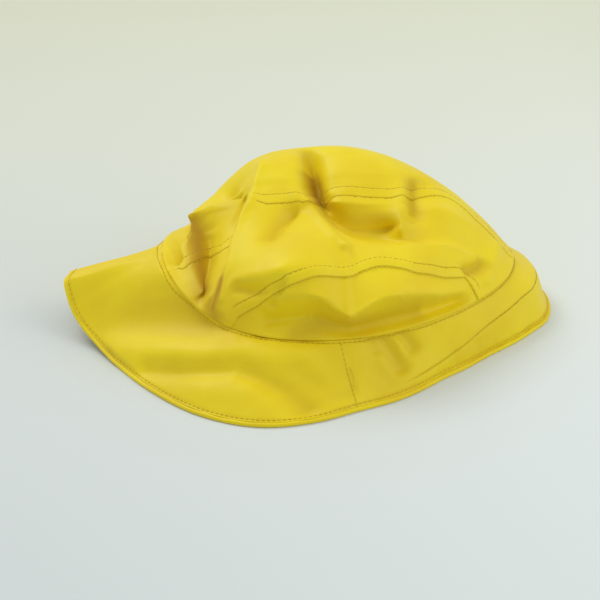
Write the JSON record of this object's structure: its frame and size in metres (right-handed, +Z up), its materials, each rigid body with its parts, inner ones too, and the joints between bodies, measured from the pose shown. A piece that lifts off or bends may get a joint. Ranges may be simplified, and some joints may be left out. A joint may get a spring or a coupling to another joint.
{
  "type": "sou'wester rain hat",
  "caption": "Yellow coated-cloth sou'wester rain hat, slumped and creased, with a long brim at the back and a folded front brim.",
  "frame": {"origin": "on the surface under the middle of the hat's bounding box", "axes": "+X towards the front of the hat, +Y towards the wearer's left, +Z up through the crown"},
  "size_m": [0.2934, 0.2326, 0.0958],
  "materials": {
    "crown_cloth": "satin",
    "gusset_cloth": "satin",
    "brim_cloth": "satin",
    "hem_cloth": "satin"
  },
  "bodies": {
    "root": {"crown_panel_right": "crown_cloth", "crown_panel_left": "crown_cloth", "side_gusset_right": "gusset_cloth", "side_gusset_left": "gusset_cloth", "brim_front": "brim_cloth", "brim_back": "brim_cloth", "brim_hem": "hem_cloth"}
  },
  "joints": []
}
